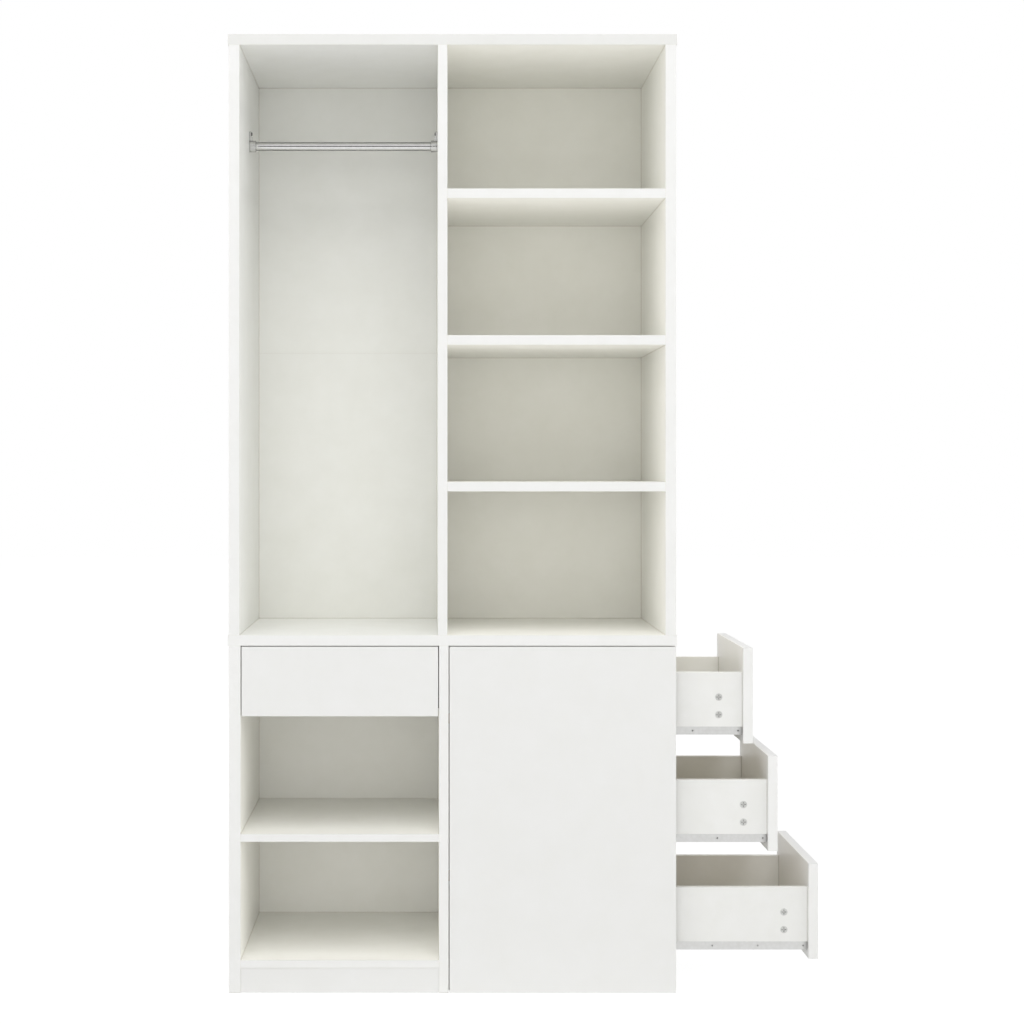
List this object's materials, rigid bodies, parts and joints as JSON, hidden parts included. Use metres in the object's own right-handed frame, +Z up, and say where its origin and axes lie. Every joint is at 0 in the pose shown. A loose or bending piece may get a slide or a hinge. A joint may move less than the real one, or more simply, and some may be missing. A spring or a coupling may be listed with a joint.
{
  "type": "open-front wardrobe",
  "caption": "White open-front wardrobe with a hanging bay, shelves, niches, a front drawer and a closed lower bay whose drawers slide out of the right-hand end.",
  "frame": {"origin": "on the floor, under the middle of the upper partition's thickness and at the middle of the case depth", "axes": "+Z up, +X to the right seen from the front, towards the end where the bay drawers come out, and +Y to the rear, so the open front faces -Y"},
  "size_m": [1.236, 0.48, 2],
  "materials": {
    "melamine_board": "white melamine-faced chipboard, satin, with matching edge band",
    "drawer_board": "white foil-wrapped drawer board, satin",
    "thin_panel": "white lacquered hardboard, satin",
    "rail_chrome": "chrome-plated steel tube",
    "socket_zinc": "plated die-cast zinc",
    "runner_steel": "zinc-plated rolled steel",
    "screw_steel": "zinc-plated steel",
    "screw_black": "blackened steel",
    "cam_zinc": "die-cast zinc, satin",
    "glide_nylon": "moulded nylon",
    "dowel_beech": "fluted beech",
    "block_pine": "planed pine"
  },
  "bodies": {
    "carcass": {"bay_floor": "melamine_board", "bay_front_panel": "melamine_board", "bay_plinth": "melamine_board", "bay_rear_wall": "melamine_board", "centre_back_panel": "thin_panel", "centre_shelf": "melamine_board", "dowels": "dowel_beech", "front_drawer_case_runners": "runner_steel", "glue_blocks": "block_pine", "hanging_rail": "rail_chrome", "left_rail_socket": "socket_zinc", "lower_back_board": "melamine_board", "lower_drawer_case_runners": "runner_steel", "lower_left_side": "melamine_board", "lower_partition": "melamine_board", "lower_shelf": "melamine_board", "middle_board": "melamine_board", "middle_drawer_case_runners": "runner_steel", "niche_floor": "melamine_board", "niche_plinth": "melamine_board", "niche_shelf": "melamine_board", "rail_socket_screws": "screw_black", "right_rail_socket": "socket_zinc", "runner_glides": "glide_nylon", "runner_screws": "screw_steel", "top_board": "melamine_board", "upper_back_panel": "thin_panel", "upper_drawer_case_runners": "runner_steel", "upper_left_side": "melamine_board", "upper_partition": "melamine_board", "upper_right_side": "melamine_board", "upper_shelf": "melamine_board"},
    "front_drawer": {"front_drawer_front": "melamine_board", "front_drawer_left_side": "drawer_board", "front_drawer_right_side": "drawer_board", "front_drawer_back": "drawer_board", "front_drawer_bottom": "thin_panel", "front_drawer_channels": "runner_steel", "front_drawer_cam_fittings": "cam_zinc"},
    "upper_drawer": {"upper_drawer_front": "melamine_board", "upper_drawer_left_side": "drawer_board", "upper_drawer_right_side": "drawer_board", "upper_drawer_back": "drawer_board", "upper_drawer_bottom": "thin_panel", "upper_drawer_channels": "runner_steel", "upper_drawer_cam_fittings": "cam_zinc"},
    "middle_drawer": {"middle_drawer_front": "melamine_board", "middle_drawer_left_side": "drawer_board", "middle_drawer_right_side": "drawer_board", "middle_drawer_back": "drawer_board", "middle_drawer_bottom": "thin_panel", "middle_drawer_channels": "runner_steel", "middle_drawer_cam_fittings": "cam_zinc"},
    "lower_drawer": {"lower_drawer_front": "melamine_board", "lower_drawer_left_side": "drawer_board", "lower_drawer_right_side": "drawer_board", "lower_drawer_back": "drawer_board", "lower_drawer_bottom": "thin_panel", "lower_drawer_channels": "runner_steel", "lower_drawer_cam_fittings": "cam_zinc"}
  },
  "joints": [
    {"name": "front_drawer_slide", "type": "slide", "parent": "carcass", "child": "front_drawer", "axis": [0, -1, 0], "range_m": [0, 0.31]},
    {"name": "upper_drawer_slide", "type": "slide", "parent": "carcass", "child": "upper_drawer", "axis": [1, 0, 0], "range_m": [-0.164, 0.146]},
    {"name": "middle_drawer_slide", "type": "slide", "parent": "carcass", "child": "middle_drawer", "axis": [1, 0, 0], "range_m": [-0.216, 0.094]},
    {"name": "lower_drawer_slide", "type": "slide", "parent": "carcass", "child": "lower_drawer", "axis": [1, 0, 0], "range_m": [-0.301, 0.009]}
  ]
}
